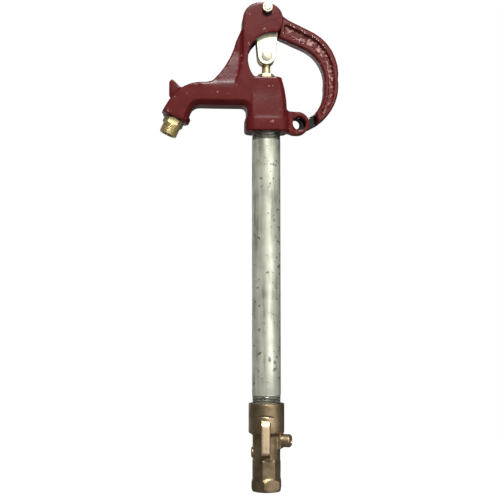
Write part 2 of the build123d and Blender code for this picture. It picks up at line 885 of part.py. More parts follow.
packing_blank = hexagon_blank(Plane.XY.offset(head_top), packing_nut_flats, packing_nut_height)
with BuildPart() as packing_nut:
    add(packing_blank)
    with BuildSketch(Plane.XY.offset(head_top)):
        Circle(packing_bore / 2)
    extrude(amount=-packing_nut_thread)
    with BuildSketch(Plane.XY.offset(head_top - packing_nut_thread)):
        Circle(stem_diameter / 2 + running)
    extrude(amount=packing_nut_thread + packing_nut_height, mode=Mode.SUBTRACT)
packing_nut.part.label = "packing_nut"

# Pivot bolt, nut and sleeve through the fork
pivot_front = Plane(origin=(0, -cheek_outer, pivot_z), x_dir=(1, 0, 0), z_dir=(0, -1, 0))
pivot_back = Plane(origin=(0, cheek_outer, pivot_z), x_dir=(1, 0, 0), z_dir=(0, 1, 0))
bolt_head = hexagon_blank(pivot_back, pivot_flats, pivot_head_height)
with BuildPart() as pivot_bolt:
    add(bolt_head)
    with BuildSketch(pivot_back):
        Circle(pivot_bolt_diameter / 2)
    extrude(amount=-2 * cheek_outer - pivot_nut_height - bolt_end_proud)
    chamfer(pivot_bolt.faces().sort_by(Axis.Y)[0].edges(), bolt_end_proud / 2)
pivot_bolt.part.label = "pivot_bolt"

nut_blank = hexagon_blank(pivot_front, pivot_flats, pivot_nut_height, 30)
with BuildPart() as pivot_nut:
    add(nut_blank)
    with BuildSketch(pivot_front):
        Circle(pivot_bolt_diameter / 2)
    extrude(amount=pivot_nut_height, mode=Mode.SUBTRACT)
pivot_nut.part.label = "pivot_nut"

with BuildPart() as pivot_sleeve:
    with BuildSketch(Plane.XZ):
        with Locations((0, pivot_z)):
            Circle(sleeve_radius)
            Circle(pivot_bolt_diameter / 2 + bolt_clearance, mode=Mode.SUBTRACT)
    extrude(amount=cheek_inner, both=True)
pivot_sleeve.part.label = "pivot_sleeve"

def arm_point(out, down):
    """Point of the lever, as shares of its reach from the pivot and of its drop below it."""
    return out * lever_reach, pivot_z - down * lever_drop


# Lever handle: hub plate between the links, I-section arm and padlock tab
with BuildPart() as lever_handle:
    arm_start = (lever_neck_radius, pivot_z - 0.239 * lever_drop)
    arm_knee = arm_point(0.522, 0.3375)
    inner_middle = arm_point(0.797, 0.673)
    inner_end = arm_point(0.675, 0.900)
    outer_end = arm_point(0.713, 1.0)
    outer_middle = arm_point(1.0, 0.602)
    shoulder = arm_point(0.630, 0.176)
    neck_top = (
        lever_neck_radius * cos(radians(35)),
        crank_pin_z + lever_neck_radius * sin(radians(35)),
    )
    with BuildSketch(Plane.XZ) as arm_outline:
        with BuildLine():
            Line(arm_start, arm_knee)
            ThreePointArc(arm_knee, arm_point(0.723, 0.451), inner_middle)
            ThreePointArc(inner_middle, arm_point(0.767, 0.808), inner_end)
            Line(inner_end, outer_end)
            ThreePointArc(outer_end, arm_point(0.9375, 0.838), outer_middle)
            ThreePointArc(outer_middle, arm_point(0.891, 0.3186), shoulder)
            Polyline(shoulder, arm_point(0.168, 0.0354), neck_top)
            ThreePointArc(
                neck_top,
                (
                    lever_neck_radius * cos(radians(17)),
                    crank_pin_z + lever_neck_radius * sin(radians(17)),
                ),
                (lever_neck_radius, crank_pin_z),
            )
            Line((lever_neck_radius, crank_pin_z), arm_start)
        make_face()
    extrude(amount=lever_face, both=True)
    fillet(outline_edges(lever_handle.part, lever_face, 0), lever_round)
    with BuildSketch(Plane.XZ):
        offset(arm_outline.sketch, amount=-lever_rail)
    extrude(amount=lever_face, both=True, mode=Mode.SUBTRACT)
    with BuildSketch(Plane.XZ):
        offset(arm_outline.sketch, amount=-lever_rail + 1)
    extrude(amount=lever_web / 2, both=True)
    with BuildSketch(Plane.XZ):
        with Locations((0, pivot_z)):
            Circle(lever_hub_radius)
        with Locations((0, crank_pin_z)):
            Circle(crank_hub_radius)
        with Locations(arm_point(0.2985, 0.174)):
            Circle(arm_joint_radius)
        make_hull()
    extrude(amount=hub_face, both=True)

    # Padlock tab behind the lug
    tab_z = pivot_z - 0.995 * lever_drop
    with BuildSketch(Plane.XZ.offset(-lever_face)):
        with Locations((tab_eye_x, tab_z)):
            Circle(tab_eye_radius)
        with BuildLine():
            Polyline(
                (tab_eye_x, tab_z + tab_eye_radius),
                arm_point(0.581, 0.933),
                (inner_end[0] + 3, inner_end[1] + 1.6),
                (outer_end[0] + 3, outer_end[1] + 3),
                outer_end,
                arm_point(0.586, 1.0437),
                (tab_eye_x, tab_z - tab_eye_radius),
                close=True,
            )
        make_face()
    extrude(amount=tab_thickness)
    with BuildSketch(Plane.XZ):
        with Locations((tab_eye_x, tab_z)):
            Circle(tab_hole_radius)
    extrude(amount=lever_face, both=True, mode=Mode.SUBTRACT)

    # Holes for the pivot sleeve and the crank pin
    with BuildSketch(Plane.XZ):
        with Locations((0, pivot_z)):
            Circle(sleeve_radius + running)
        with Locations((0, crank_pin_z)):
            Circle(crank_pin_radius)
    extrude(amount=lever_face, both=True, mode=Mode.SUBTRACT)
lever_handle.part.label = "lever_handle"

# Crank pin, headed over both links
with BuildPart() as crank_pin:
    with BuildSketch(Plane.XZ):
        with Locations((0, crank_pin_z)):
            Circle(crank_pin_radius)
    extrude(amount=link_outer + side_play, both=True)
    for face in (-1, 1):
        with BuildSketch(Plane.XZ.offset(face * (link_outer + side_play))):
            with Locations((0, crank_pin_z)):
                Circle(crank_pin_head_radius)
        extrude(amount=face * crank_pin_head_height)
crank_pin.part.label = "crank_pin"


def link_plate(face):
    """One of the two links, with its outer side at y = -face."""
    with BuildPart() as plate:
        with BuildSketch(Plane.XZ.offset(face)):
            with Locations((0, crank_pin_z)):
                Circle(link_top_radius)
            with Locations((0, rivet_z)):
                Circle(link_low_radius)
            make_hull()
        extrude(amount=-link_thickness)
        with BuildSketch(Plane.XZ.offset(face)):
            with Locations((0, crank_pin_z)):
                Circle(crank_pin_radius + running)
            with Locations((0, rivet_z)):
                Circle(rivet_radius)
        extrude(amount=-link_thickness, mode=Mode.SUBTRACT)
    return plate.part


link_front = link_plate(link_outer)
link_front.label = "link_front"
link_rear = link_plate(-link_inner)
link_rear.label = "link_rear"

# Rivet through the lower ends of the links, with domed heads
rivet_dome = (rivet_head_radius**2 + rivet_head_height**2) / (2 * rivet_head_height)
rivet_section = Plane(origin=(0, 0, rivet_z), x_dir=(1, 0, 0), z_dir=(0, 0, 1))
with BuildPart() as link_rivet:
    with BuildSketch(rivet_section):
        with BuildLine():
            Polyline(
                (0, link_outer + rivet_head_height),
                (0, 0),
                (rivet_radius, 0),
                (rivet_radius, link_outer),
                (rivet_head_radius, link_outer),
            )
            RadiusArc((rivet_head_radius, link_outer), (0, link_outer + rivet_head_height), -rivet_dome)
        make_face()
    revolve(axis=Axis((0, 0, rivet_z), (0, 1, 0)))
    mirror(about=Plane.XZ)
link_rivet.part.label = "link_rivet"

# Brass hose nozzle: shank in the spout, hexagon and thread
nozzle_hexagon = hexagon_blank(outlet_face, nozzle_flats, nozzle_hex_length, 30)
nozzle_length = nozzle_hex_length + nozzle_thread_length
with BuildPart() as hose_nozzle:
    add(nozzle_hexagon)
    with BuildSketch(outlet_face.offset(-outlet_depth)):
        Circle(nozzle_shank_radius)
    extrude(amount=outlet_depth)
    with BuildSketch(outlet_face.offset(nozzle_hex_length)):
        Circle(hose_thread_od / 2)
    extrude(amount=nozzle_thread_length)
    chamfer(hose_nozzle.faces().sort_by(Axis.Z)[0].edges(), 1.2)
    with BuildSketch(outlet_face.offset(-outlet_depth)):
        Circle(nozzle_bore / 2)
    extrude(amount=outlet_depth + nozzle_length, mode=Mode.SUBTRACT)
hose_nozzle.part.label = "hose_nozzle"

pieces = [
    head_casting.part,
    standpipe.part,
    valve_body.part,
    valve_seat.part,
    plunger_body.part,
    plunger_rings.part,
    plunger_seal.part,
    seal_washer.part,
    seal_screw.part,
    operating_rod.part,
    jam_nut.part,
    rod_coupling.part,
    upper_rod.part,
    packing_washer.part,
    packing_rings.part,
    packing_nut.part,
    pivot_bolt.part,
    pivot_nut.part,
    pivot_sleeve.part,
    lever_handle.part,
    crank_pin.part,
    link_front,
    link_rear,
    link_rivet.part,
    hose_nozzle.part,
]
os.makedirs("parts", exist_ok=True)
for piece in pieces:
    export_step(piece, f"parts/{piece.label}.step")
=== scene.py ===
import math

import bmesh
import bpy
import numpy as np
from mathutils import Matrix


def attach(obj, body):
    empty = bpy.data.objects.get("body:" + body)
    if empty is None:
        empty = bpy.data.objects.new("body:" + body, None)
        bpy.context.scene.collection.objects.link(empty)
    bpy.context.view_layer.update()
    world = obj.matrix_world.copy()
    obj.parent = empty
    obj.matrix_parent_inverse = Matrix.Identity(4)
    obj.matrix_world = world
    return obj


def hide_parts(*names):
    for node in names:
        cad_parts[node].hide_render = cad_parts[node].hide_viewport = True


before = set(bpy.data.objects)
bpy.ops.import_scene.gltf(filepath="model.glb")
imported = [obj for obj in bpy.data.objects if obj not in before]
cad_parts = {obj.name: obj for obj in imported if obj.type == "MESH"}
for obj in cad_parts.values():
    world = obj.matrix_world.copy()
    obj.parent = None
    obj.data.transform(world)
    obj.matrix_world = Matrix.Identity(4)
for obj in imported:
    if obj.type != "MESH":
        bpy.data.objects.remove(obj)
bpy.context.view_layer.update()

import openvdb
from mathutils import Vector, noise

MM = 0.001
WHITE = (1.0, 1.0, 1.0, 1.0)

# Pipe, with the rings of points that its skin is made of
PIPE_RADIUS = 21.08 * MM
PIPE_WALL = 3.56 * MM
PIPE_BEVEL = 0.8 * MM
PIPE_SIDES = 160
BEVEL_RINGS = 4
RINGS_PER_PITCH = 9
PLAIN_RINGS = 12

# Threads at the pipe's ends
PIPE_THREAD_PITCH = 2.209 * MM
PIPE_THREAD_DEPTH = 1.3 * MM
PIPE_THREAD_LENGTH = 31.0 * MM
PIPE_THREAD_OVERRUN = 2.0 * MM
PIPE_THREAD_START = 1.0 * MM
PIPE_THREAD_FADE = 5.0 * MM

# Hose thread on the nozzle, measured down the outlet from where the nozzle leaves the spout
HOSE_THREAD_RADIUS = 13.45 * MM
HOSE_THREAD_PITCH = 2.209 * MM
HOSE_THREAD_DEPTH = 1.1 * MM
HOSE_THREAD_START = 11.0 * MM
HOSE_THREAD_END = 24.4 * MM
HOSE_THREAD_RUN_IN = 1.6 * MM
HOSE_THREAD_RUN_OUT = 0.8 * MM
OUTLET_LEAN = math.radians(24.5)
OUTLET_PLACE = Vector((-135.73, 0.0, 544.52)) * MM

# Form of every thread: where the crest ends and the root starts, in pitches, and how thick a skin is cut
THREAD_CREST = 0.06
THREAD_ROOT = 0.42
THREAD_SKIN = 0.5 * MM

# Channel in the lever's sides: half its floor's thickness, and the middle of its lower half as (x, z)
CHANNEL_FLOOR = 6.5 * MM
CHANNEL_INNER = 2.4 * MM
CHANNEL_OUTER = 4.3 * MM
CHANNEL_PATH = np.array([
    (87.8, 640), (92.6, 630), (95.4, 620), (96.8, 605), (96.6, 590),
    (95.2, 580), (92.2, 570), (87.4, 560), (83.5, 555),
]) * MM

# Where marks on the lever begin and are full, in millimetres: its tab, black with painted shade, and the
# start of its arm
TAB_FROM_X = (77.0, 74.0)
TAB_FROM_Z = (554.0, 551.0)
ARM_FROM_X = (18.0, 22.0)

# Where the rough floor of the lever's channels begins and is full, above the floor
ROUGH_ABOVE_FLOOR = (1.4 * MM, 0.4 * MM)

# Rounding of the pieces: the grid's step, then the radii of inner corners and of outer edges
HEAD_ROUNDING = (0.8 * MM, 4.0 * MM, 1.3 * MM)
LEVER_ROUNDING = (0.7 * MM, 1.6 * MM, 1.4 * MM)
FOOT_ROUNDING = (0.5 * MM, 0.6 * MM, 0.7 * MM)
SMALL_ROUNDING = (0.3 * MM, 0.0, 0.45 * MM)
GRID_MARGIN = 3
DOUBLED_POINTS = 0.001 * MM

# Uneven skin of the castings: a finer wave on a broader one, biased inwards to stay within the solid
FINE_WAVE_SHARE = 0.4
FINE_WAVE_SIZE = 0.45
WAVE_BIAS = 0.7

# Colours, with tones as (place in a pattern, colour)
PAINT_TONES = [(0.3, (0.100, 0.0105, 0.0100)), (0.7, (0.125, 0.0140, 0.0130))]
PAINT_SHADE_IN_HOLLOWS = (0.040, 0.006, 0.006)
PAINT_WEAR_AND_HIGHLIGHT_ON_EDGES = (0.22, 0.05, 0.045)
# pale flecks: chipping of the enamel, partly painted glints
PAINT_CHIPS_AND_GLINTS = (0.50, 0.32, 0.28)
# painted glints on the rough floor of the lever's channels
PAINTED_CHANNEL_GLINTS = (0.60, 0.34, 0.30)
# painted shade: near black on the lever's tab
TAB_PAINTED_SHADE = (0.012, 0.006, 0.004)
GALVANISED_TONES = [(0.13, (0.34, 0.34, 0.27)), (0.22, (0.66, 0.66, 0.53)), (0.38, (0.94, 0.94, 0.79))]
GALVANISED_SPOTS = (0.11, 0.10, 0.07)
# grime and painted shade in the pipe's threads
THREAD_DIRT_AND_SHADE = (0.035, 0.033, 0.025)
ZINC_TONES = [(0.3, (0.62, 0.59, 0.42)), (0.65, (0.80, 0.77, 0.58))]
ZINC_SHADE_IN_HOLLOWS = (0.22, 0.21, 0.16)
ZINC_SHADE_ON_FLANKS = (0.10, 0.095, 0.07)
BRONZE_TONES = [(0.3, (0.20, 0.15, 0.085)), (0.5, (0.44, 0.325, 0.19)), (0.72, (0.70, 0.52, 0.32))]
BRONZE_SHADE_IN_HOLLOWS = (0.045, 0.038, 0.024)
BRONZE_WEAR_AND_HIGHLIGHT_ON_EDGES = (0.60, 0.43, 0.25)
# painted highlight on the front of the valve body's bar, and the depths where it begins and is full
BRONZE_FRONT_HIGHLIGHT = (1.0, 0.76, 0.49)
BRONZE_FRONT_HIGHLIGHT_FROM_Y = (-0.0272, -0.0284)
BRASS_TONES = [(0.3, (0.66, 0.52, 0.24)), (0.55, (0.90, 0.76, 0.40)), (0.75, (0.96, 0.87, 0.54))]
BRASS_SHADE_IN_HOLLOWS = (0.16, 0.10, 0.03)
BRASS_SHADE_IN_THREADS = (0.30, 0.21, 0.07)
STEEL_TONES = [(0.3, (0.36, 0.35, 0.33)), (0.7, (0.52, 0.51, 0.49))]
RUBBER_TONES = [(0.3, (0.012, 0.012, 0.012)), (0.7, (0.03, 0.03, 0.03))]
PACKING_TONES = [(0.2, (0.03, 0.028, 0.025)), (0.8, (0.11, 0.10, 0.09))]

# Camera at the photograph's viewpoint
CAMERA_PLACE = Vector((-131.8, -1506.6, 249.4)) * MM
CAMERA_HEADING = math.radians(4.09)
CAMERA_PITCH = math.radians(3.85)
CAMERA_FOCAL_PIXELS = 1026.0
PHOTO_WIDTH = 500.0

# Lamp, in metres and watts
KEY_LIGHT_PLACE = (0.10, -1.74, 1.90)
KEY_LIGHT_TARGET = (0.0, 0.0, 0.4)
KEY_LIGHT_SIZE = (0.45, 0.6)
KEY_LIGHT_POWER = 56.0

# Brightness of the studio in reflections, from straight away from the soft screen to the screen itself
SCREEN_DIRECTION = (0.469, -0.883, 0.0)
SCREEN_STOPS = [
    (0.0, 0.5),
    (0.04, 0.3),
    (0.12, 0.08),
    (0.28, 0.04),
    (0.6, 0.04),
    (0.82, 0.08),
    (0.93, 0.50),
    (0.98, 1.5),
    (1.0, 1.8),
]
ROOM_LIGHT = 0.17
ROOM_TINT = (0.97, 0.98, 1.0, 1.0)

# Floor, which melts into the backdrop between two shares of its radius
FLOOR_RADIUS = 0.9
FLOOR_LEVEL = -0.001
FLOOR_SIDES = 96
FLOOR_MELTS = (0.25, 0.95)
FLOOR_GREY = (0.55, 0.55, 0.55)
FLOOR_GREY_IN_REFLECTIONS = (0.16, 0.16, 0.16)
FLOOR_GLOW = 0.92


# Nodes of shader and geometry trees
def add(tree, kind, at=(0, 0), inputs=(), **settings):
    """A node of this kind with its settings, and its inputs set or linked by name or number."""
    made = tree.nodes.new(kind)
    made.location = at
    for name, value in settings.items():
        setattr(made, name, value)
    for name, value in dict(inputs).items():
        socket = made.inputs[name]
        if isinstance(value, bpy.types.NodeSocket):
            tree.links.new(value, socket)
        else:
            socket.default_value = value
    return made


def ramp(tree, source, tones, at=(0, 0)):
    """Colour ramp with these (place, colour) tones."""
    made = add(tree, "ShaderNodeValToRGB", at, {"Fac": source})
    elements = made.color_ramp.elements
    while len(elements) < len(tones):
        elements.new(0.5)
    for element, (place, colour) in zip(elements, tones):
        element.position = place
        element.color = (*colour, 1.0)
    return made.outputs["Color"]


def remap(tree, source, low, high, to_low=0.0, to_high=1.0, at=(0, 0)):
    ends = {"Value": source, "From Min": low, "From Max": high, "To Min": to_low, "To Max": to_high}
    return add(tree, "ShaderNodeMapRange", at, ends).outputs["Result"]


def mix_colour(tree, amount, first, second, at=(0, 0)):
    """The first colour, or the second by this amount."""
    made = add(tree, "ShaderNodeMix", at, {0: amount}, data_type="RGBA")
    for index, colour in ((6, first), (7, second)):
        if isinstance(colour, bpy.types.NodeSocket):
            tree.links.new(colour, made.inputs[index])
        else:
            made.inputs[index].default_value = (*colour, 1.0)
    return made.outputs[2]


def maths(tree, operation, first, second=0.5, at=(0, 0)):
    return add(tree, "ShaderNodeMath", at, {0: first, 1: second}, operation=operation).outputs[0]


def times(tree, first, second, at=(0, 0)):
    return maths(tree, "MULTIPLY", first, second, at)


def plus(tree, first, second, at=(0, 0)):
    return maths(tree, "ADD", first, second, at)


def scaled(tree, vector, length, at=(0, 0)):
    inputs = {0: vector, "Scale": length}
    return add(tree, "ShaderNodeVectorMath", at, inputs, operation="SCALE").outputs["Vector"]


def vector_maths(tree, operation, first, second=(0.0, 0.0, 0.0), at=(0, 0)):
    made = add(tree, "ShaderNodeVectorMath", at, {0: first, 1: second}, operation=operation)
    return made.outputs["Value" if operation in ("DOT_PRODUCT", "LENGTH") else "Vector"]


def clouds_of(tree, vector, scale, detail=2.0, roughness=0.5, distortion=0.0, at=(0, 0)):
    """Noise that stays about its middle value of 0.5."""
    inputs = {
        "Vector": vector,
        "Scale": scale,
        "Detail": detail,
        "Roughness": roughness,
        "Distortion": distortion,
    }
    return add(tree, "ShaderNodeTexNoise", at, inputs).outputs["Fac"]


def stretched_upright(tree, vector, scale, at=(-1150, 0)):
    inputs = {"Vector": vector, "Scale": (1.0, 1.0, scale)}
    return add(tree, "ShaderNodeMapping", at, inputs).outputs["Vector"]


def part_of(tree, vector, axis, at=(0, 0)):
    return add(tree, "ShaderNodeSeparateXYZ", at, {"Vector": vector}).outputs[axis]


def mesh_value(tree, name, at=(0, 0)):
    """A value stored on the points of the mesh."""
    made = add(tree, "ShaderNodeAttribute", at, attribute_name=name, attribute_type="GEOMETRY")
    return made.outputs["Fac"]


def place_group(tree, group, at, inputs):
    return add(tree, "ShaderNodeGroup", at, inputs, node_tree=group).outputs


def glow_of(tree, kind, colour, strength, at=(0, 0)):
    """Background or emission of this colour and strength."""
    return add(tree, kind, at, {"Color": colour, "Strength": strength}).outputs[0]


def mix_shaders(tree, amount, first, second, at=(0, 0)):
    return add(tree, "ShaderNodeMixShader", at, {0: amount, 1: first, 2: second}).outputs[0]


def new_group(name, inputs, outputs, kind="ShaderNodeTree"):
    """Empty group with these sockets, and the sockets of its input and output nodes."""
    group = bpy.data.node_groups.new(name, kind)
    for label, socket_kind, value in inputs:
        socket = group.interface.new_socket(label, in_out="INPUT", socket_type=socket_kind)
        if value is not None:
            socket.default_value = value
    for label, socket_kind in outputs:
        group.interface.new_socket(label, in_out="OUTPUT", socket_type=socket_kind)
    entry = add(group, "NodeGroupInput", (-1500, 0))
    leaving = add(group, "NodeGroupOutput", (900, 0))
    return group, entry.outputs, leaving.inputs


def make_cast_grain():
    """Lumps and pits that sand leaves on a casting."""
    group, given, gives = new_group(
        "cast_grain",
        [
            ("Vector", "NodeSocketVector", None),
            ("Lump Scale", "NodeSocketFloat", 160.0),
            ("Grain Scale", "NodeSocketFloat", 900.0),
            ("Grain Share", "NodeSocketFloat", 0.35),
        ],
        [("Height", "NodeSocketFloat"), ("Blotch", "NodeSocketFloat")],
    )
    place = given["Vector"]
    lumps = clouds_of(group, place, given["Lump Scale"], detail=3.0, roughness=0.55, at=(-600, 200))
    grain = clouds_of(group, place, given["Grain Scale"], roughness=0.6, at=(-600, -100))
    blotch = clouds_of(group, place, scale=34.0, detail=4.0, roughness=0.6, at=(-600, -400))
    fine = times(group, grain, given["Grain Share"], (-300, -100))
    group.links.new(plus(group, lumps, fine), gives["Height"])
    group.links.new(blotch, gives["Blotch"])
    return group


def make_edge_mask():
    """Edges and hollows, from the curve that is stored on the rounded meshes."""
    group, given, gives = new_group(
        "edge_mask",
        [
            ("Vector", "NodeSocketVector", None),
            ("Low", "NodeSocketFloat", 0.25),
            ("High", "NodeSocketFloat", 0.7),
            ("Break", "NodeSocketFloat", 0.5),
        ],
        [("Edge", "NodeSocketFloat"), ("Hollow", "NodeSocketFloat")],
    )
    curve = mesh_value(group, "curve", (-700, 200))
    patchy = clouds_of(group, given["Vector"], scale=220.0, detail=5.0, roughness=0.65, at=(-700, -100))
    centred = maths(group, "SUBTRACT", patchy, 0.5, (-450, -100))
    broken = plus(group, curve, times(group, centred, given["Break"], (-250, -100)), (-50, 100))
    sunk = times(group, curve, -1.0, (-50, -300))
    group.links.new(remap(group, broken, given["Low"], given["High"], at=(200, 150)), gives["Edge"])
    group.links.new(remap(group, sunk, given["Low"], given["High"], at=(200, -200)), gives["Hollow"])
    return group


# Materials
def new_material(name):
    """Material with its Principled shader, and its object coordinates."""
    material = bpy.data.materials.new(name)
    material.use_nodes = True
    tree = material.node_tree
    tree.nodes.clear()
    shader = add(tree, "ShaderNodeBsdfPrincipled", (600, 0))
    add(tree, "ShaderNodeOutputMaterial", (900, 0), {"Surface": shader.outputs["BSDF"]})
    place = add(tree, "ShaderNodeTexCoord", (-1600, 0)).outputs["Object"]
    return material, tree, shader, place


def find_edges(tree, place, low, high, unevenness, at=(-900, -400)):
    """Masks of the edges and the hollows, between these curves and broken up by this much."""
    inputs = {"Vector": place, "Low": low, "High": high, "Break": unevenness}
    return place_group(tree, edge_mask, at, inputs)


def finish_surface(tree, shader, colour, roughness, height, distance, strength, metallic=0.0):
    """Links a shader to its colour, its roughness and its relief."""
    tree.links.new(colour, shader.inputs["Base Color"])
    tree.links.new(roughness, shader.inputs["Roughness"])
    shader.inputs["Metallic"].default_value = metallic
    inputs = {"Height": height, "Distance": distance, "Strength": strength}
    relief = add(tree, "ShaderNodeBump", (300, -300), inputs)
    tree.links.new(relief.outputs["Normal"], shader.inputs["Normal"])


def maroon_enamel(name, coat, coat_roughness):
    """Enamel over cast iron, with painted shade in its hollows and on the lever's tab, wear and painted
    highlights on its edges, pale flecks of chipping that are partly painted glints, and painted glints on
    the rough floor of the lever's channels.
    """
    material, tree, shader, place = new_material(name)
    grain = place_group(tree, cast_grain, (-900, 0), {"Vector": place})
    edges = find_edges(tree, place, low=0.35, high=1.0, unevenness=0.6)
    tone = ramp(tree, grain["Blotch"], PAINT_TONES, (-500, 300))
    # painted shade: the enamel is darkened in its hollows
    shaded = mix_colour(tree, edges["Hollow"], tone, PAINT_SHADE_IN_HOLLOWS, (-150, 300))
    # wear and painted highlight: the enamel is lighter on its convex edges
    edge_wear_and_highlight = times(tree, edges["Edge"], 0.35, (-400, -300))
    paint = mix_colour(tree, edge_wear_and_highlight, shaded, PAINT_WEAR_AND_HIGHLIGHT_ON_EDGES, (50, 300))

    # pale flecks on edges and in patches: chipping of the enamel, partly painted glints
    flecks = clouds_of(tree, place, scale=330.0, detail=1.0, at=(-700, -700))
    edge_nicks_and_glints = times(tree, remap(tree, flecks, 0.66, 0.72, at=(-500, -700)), edges["Edge"], (-300, -600))
    flaking = clouds_of(tree, place, scale=85.0, detail=6.0, roughness=0.72, at=(-700, -500))
    patchy_chips_and_glints = remap(tree, flaking, 0.635, 0.655, 0.0, 0.8, (-500, -500))
    pale_flecks = maths(tree, "MAXIMUM", edge_nicks_and_glints, patchy_chips_and_glints, (0, -600))
    flecked = mix_colour(tree, pale_flecks, paint, PAINT_CHIPS_AND_GLINTS, (200, 300))
    # painted shade: the lever's tab is painted near black
    tab_shaded = mix_colour(tree, mesh_value(tree, "tab_shade", (100, 600)), flecked, TAB_PAINTED_SHADE, (350, 300))

    rough = mesh_value(tree, "rough", (-300, -900))
    lumpy = clouds_of(tree, place, scale=190.0, detail=3.0, distortion=0.6, at=(-700, -900))
    # painted glints: patches of lighter enamel on the rough channel floor, stronger higher up
    glint_patches = times(tree, remap(tree, lumpy, 0.50, 0.60, at=(-300, -1100)), rough, (-100, -1100))
    level = part_of(tree, place, "Z", (-500, -1200))
    glints_higher_up = times(tree, glint_patches, remap(tree, level, 0.56, 0.64, 0.4, 0.85, (-100, -1300)), (100, -1100))
    colour = mix_colour(tree, glints_higher_up, tab_shaded, PAINTED_CHANNEL_GLINTS, (450, 300))

    lumps = times(tree, times(tree, rough, lumpy, (-100, -800)), 2.0, (50, -700))
    height = plus(tree, grain["Height"], lumps, (150, -500))
    gloss = remap(tree, grain["Blotch"], 0.3, 0.7, 0.24, 0.36, (100, 0))
    finish_surface(tree, shader, colour, gloss, height, distance=0.22 * MM, strength=0.8)
    shader.inputs["Specular IOR Level"].default_value = 0.10
    shader.inputs["Coat Weight"].default_value = coat
    shader.inputs["Coat Roughness"].default_value = coat_roughness
    return material


def galvanised_steel():
    """Zinc-dipped pipe, streaked along its length and spotted, with grime and painted shade in its threads.
    """
    material, tree, shader, place = new_material("galvanised_steel")
    stretched = stretched_upright(tree, place, 0.09)
    streaks = clouds_of(tree, stretched, scale=130.0, detail=4.0, roughness=0.6, at=(-900, 250))
    clouds = clouds_of(tree, place, scale=26.0, detail=4.0, at=(-900, -50))
    both = times(tree, streaks, clouds, (-650, 150))
    zinc = ramp(tree, both, GALVANISED_TONES, (-400, 250))

    specks = clouds_of(tree, place, scale=150.0, at=(-900, -350))
    gathered = plus(tree, specks, times(tree, clouds, 0.25, (-650, -200)), (-500, -300))
    spots = times(tree, remap(tree, gathered, 0.765, 0.79, at=(-400, -300)), 0.7, (-250, -300))
    spotted = mix_colour(tree, spots, zinc, GALVANISED_SPOTS, (0, 250))
    # grime and painted shade: the threads are darkened by how deep their groove is
    dirt_and_shade = remap(tree, mesh_value(tree, "groove", (-250, 500)), 0.0, 0.45, 0.0, 0.95, (0, 500))
    colour = mix_colour(tree, dirt_and_shade, spotted, THREAD_DIRT_AND_SHADE, (250, 250))

    cells = add(tree, "ShaderNodeTexVoronoi", (-900, -600), {"Vector": place, "Scale": 130.0})
    spangle = times(tree, cells.outputs["Distance"], 0.25, (-400, -600))
    height = plus(tree, clouds, spangle, (-100, -500))
    gloss = remap(tree, both, 0.1, 0.4, 0.40, 0.24)
    finish_surface(tree, shader, colour, gloss, height, distance=0.3 * MM, strength=0.5, metallic=0.45)
    return material


def worked_metal(name, cloud_scale, fine_scale, tones, shade_in_hollows):
    """A metal's cloudy tone, with painted shade in its hollows, with what its material is finished from."""
    material, tree, shader, place = new_material(name)
    clouds = clouds_of(tree, place, cloud_scale, detail=5.0, roughness=0.6, at=(-900, 0))
    fine = clouds_of(tree, place, fine_scale, at=(-900, -300))
    edges = find_edges(tree, place, low=0.3, high=0.9, unevenness=0.4, at=(-900, -600))
    cloudy = ramp(tree, clouds, tones, (-500, 200))
    # painted shade: the metal is darkened in its hollows
    tone = mix_colour(tree, edges["Hollow"], cloudy, shade_in_hollows, (-100, 200))
    return material, tree, shader, clouds, fine, tone


def zinc_plate():
    """Zinc-plated steel, with painted shade on the faces that look away from front and back."""
    made = worked_metal("zinc_plate", 90.0, 900.0, ZINC_TONES, ZINC_SHADE_IN_HOLLOWS)
    material, tree, shader, clouds, fine, tone = made
    # painted shade: faces that turn away from front and back are darkened
    normal = add(tree, "ShaderNodeNewGeometry", (-900, 400)).outputs["Normal"]
    facing = maths(tree, "ABSOLUTE", part_of(tree, normal, "Y", (-700, 400)), at=(-500, 450))
    flank_shade = remap(tree, facing, 0.25, 0.7, 0.8, 0.0, (-300, 450))
    colour = mix_colour(tree, flank_shade, tone, ZINC_SHADE_ON_FLANKS, (100, 350))
    gloss = remap(tree, clouds, 0.3, 0.7, 0.34, 0.5)
    finish_surface(tree, shader, colour, gloss, fine, distance=0.05 * MM, strength=0.6, metallic=0.55)
    return material


def turned_brass():
    """Yellow brass, with painted shade in its threads and hollows."""
    made = worked_metal("turned_brass", 150.0, 700.0, BRASS_TONES, BRASS_SHADE_IN_HOLLOWS)
    material, tree, shader, clouds, fine, tone = made
    # painted shade: the brass is darkened in its thread grooves
    groove = times(tree, mesh_value(tree, "groove", (-250, 500)), 0.6, (-50, 500))
    colour = mix_colour(tree, groove, tone, BRASS_SHADE_IN_THREADS, (150, 250))
    gloss = remap(tree, clouds, 0.3, 0.7, 0.28, 0.42)
    finish_surface(tree, shader, colour, gloss, fine, distance=0.06 * MM, strength=0.6, metallic=0.7)
    return material


